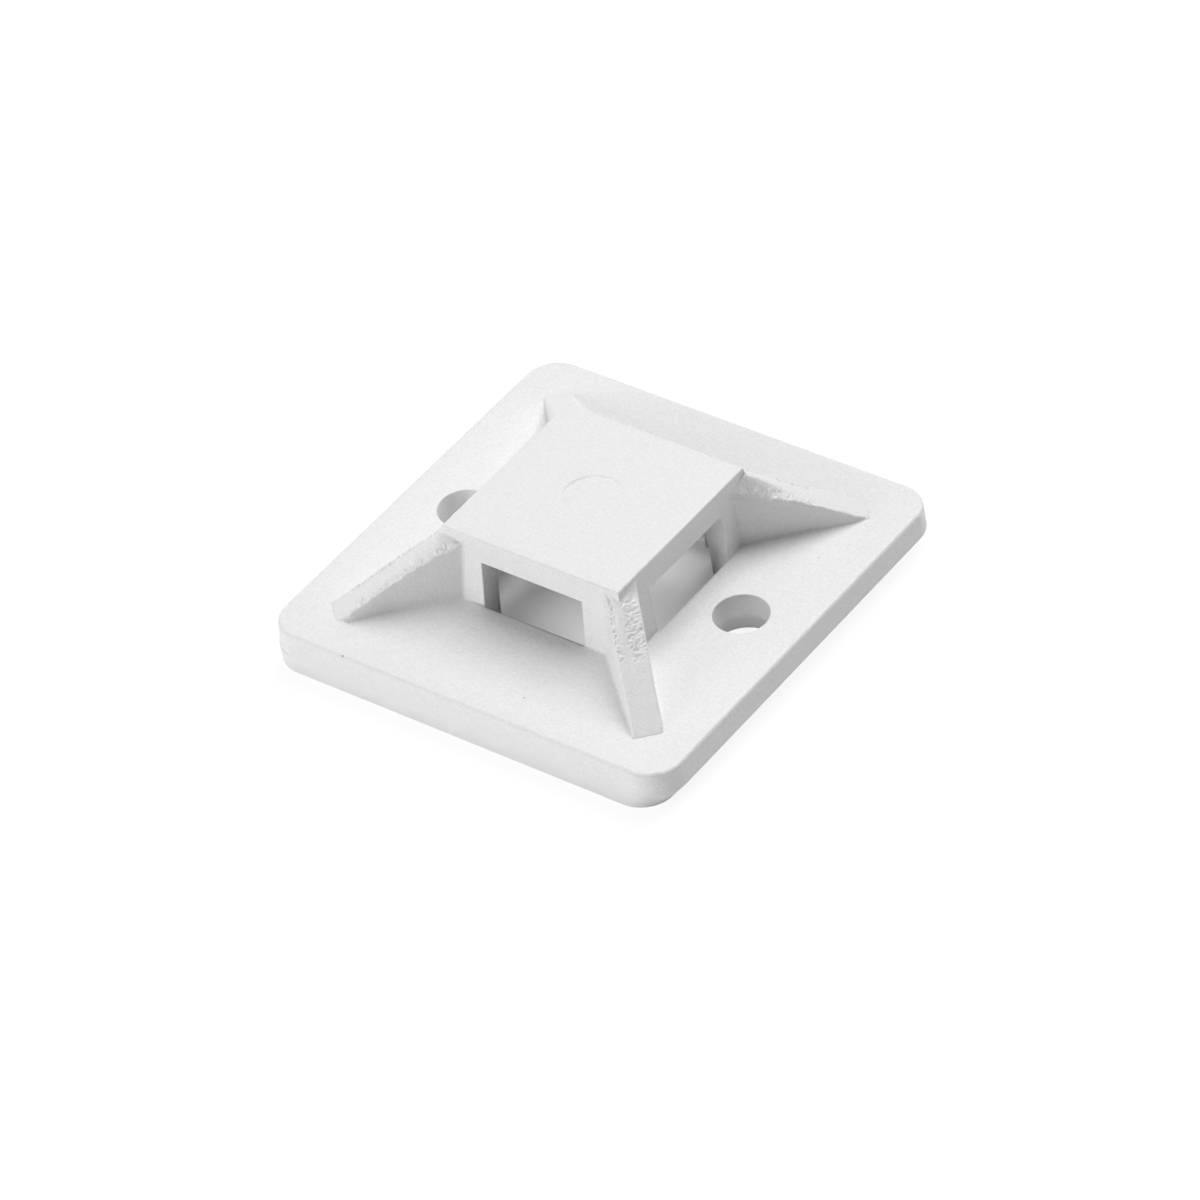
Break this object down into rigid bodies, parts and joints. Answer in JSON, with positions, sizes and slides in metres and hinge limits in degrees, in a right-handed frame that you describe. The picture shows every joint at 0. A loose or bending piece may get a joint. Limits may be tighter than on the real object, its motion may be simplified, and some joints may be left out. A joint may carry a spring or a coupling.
{
  "type": "cable tie mount",
  "caption": "Square self-adhesive cable tie mount: a hollow saddle block, open on every side and braced by corner ribs, holds a cable tie threaded either way.",
  "frame": {"origin": "centre of the square base at its underside, on the plane of the wall that the adhesive pad sticks to", "axes": "+Z away from the wall, +X along the line through the screw holes, +Y completing a right-handed frame"},
  "size_m": [0.028, 0.028, 0.0076],
  "materials": {
    "nylon": "white moulded nylon with a fine-grained satin surface",
    "foam": "white closed-cell foam, cut smooth at its edge, matt"
  },
  "bodies": {
    "root": {"mount_body": "nylon", "adhesive_pad": "foam"}
  },
  "joints": []
}
